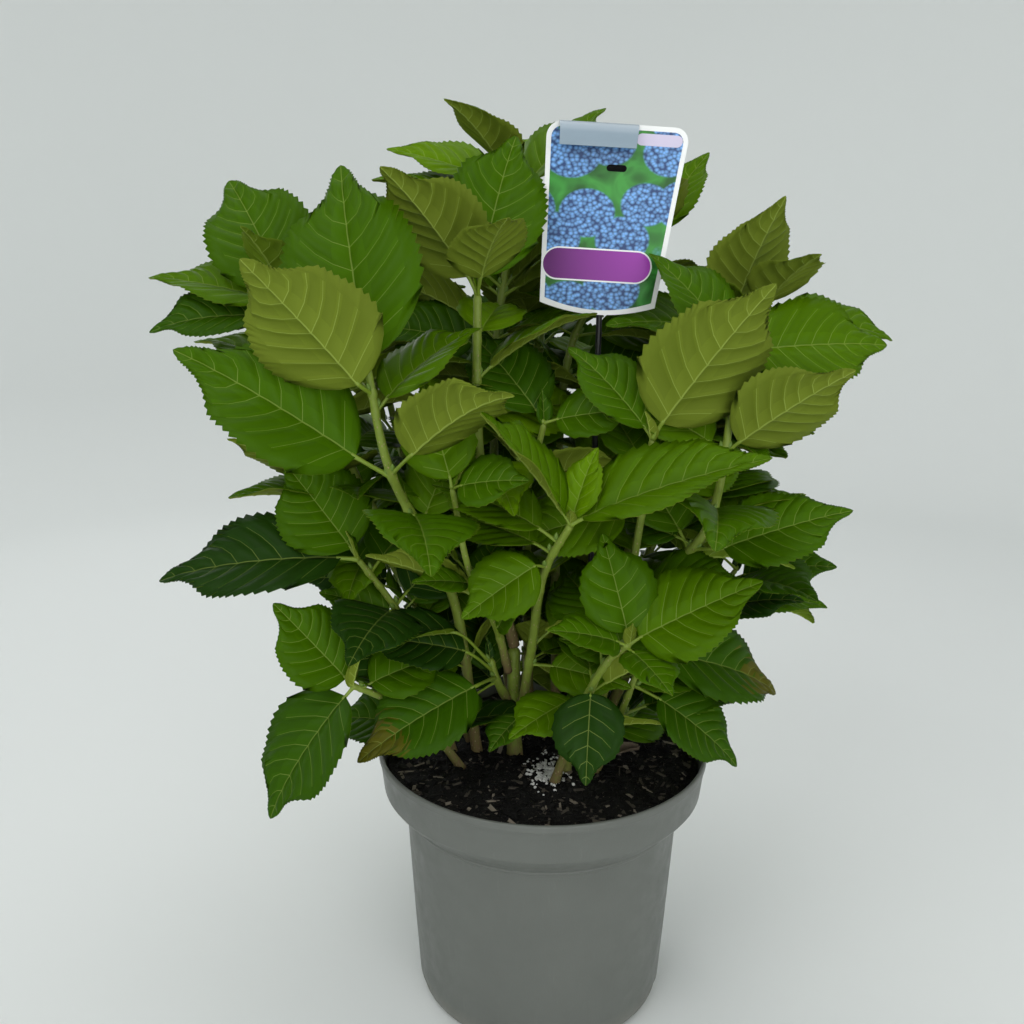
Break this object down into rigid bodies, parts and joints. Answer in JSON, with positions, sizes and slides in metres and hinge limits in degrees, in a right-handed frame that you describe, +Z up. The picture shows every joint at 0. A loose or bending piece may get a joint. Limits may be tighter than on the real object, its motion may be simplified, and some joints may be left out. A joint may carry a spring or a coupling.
{
  "type": "potted hydrangea shrub",
  "caption": "Leafy hydrangea shrub in a round nursery pot: several tapering stems from the soil, broad toothed leaves in separate masses, and a blank plant card on a stick.",
  "frame": {"origin": "centre of the pot's flat underside, on the ground", "axes": "+Z up along the pot's axis, -Y towards the side that the plant card faces, +X to the right of that side"},
  "size_m": [0.366, 0.2809, 0.4547],
  "materials": {
    "pot": "satin",
    "soil": "rough bark compost",
    "wood": "green to brown bark",
    "foliage": "satin leaf",
    "card": "glossy print",
    "stick": "satin"
  },
  "bodies": {
    "root": {"pot": "pot", "soil": "soil", "trunk": "wood", "front_left_bough": "wood", "front_left_leaves": "foliage", "left_back_bough": "wood", "left_back_leaves": "foliage", "centre_bough": "wood", "centre_leaves": "foliage", "centre_back_bough": "wood", "centre_back_leaves": "foliage", "label_side_bough": "wood", "label_side_leaves": "foliage", "right_back_bough": "wood", "right_back_leaves": "foliage", "front_centre_bough": "wood", "front_centre_leaves": "foliage", "right_bough": "wood", "right_leaves": "foliage", "right_front_bough": "wood", "right_front_leaves": "foliage", "low_front_bough": "wood", "low_front_leaves": "foliage", "low_right_bough": "wood", "low_right_leaves": "foliage", "low_stub_bough": "wood", "low_stub_leaves": "foliage", "low_spur_bough": "wood", "low_spur_leaves": "foliage", "left_front_bough": "wood", "left_front_leaves": "foliage", "left_mid_bough": "wood", "left_mid_leaves": "foliage", "low_left_bough": "wood", "low_left_leaves": "foliage", "inner_left_bough": "wood", "inner_left_leaves": "foliage", "inner_right_bough": "wood", "inner_right_leaves": "foliage", "back_bough": "wood", "back_leaves": "foliage", "back_left_bough": "wood", "back_left_leaves": "foliage", "back_right_bough": "wood", "back_right_leaves": "foliage", "low_back_bough": "wood", "low_back_leaves": "foliage", "low_back_right_bough": "wood", "low_back_right_leaves": "foliage", "label_card": "card", "label_stick": "stick"}
  },
  "joints": []
}
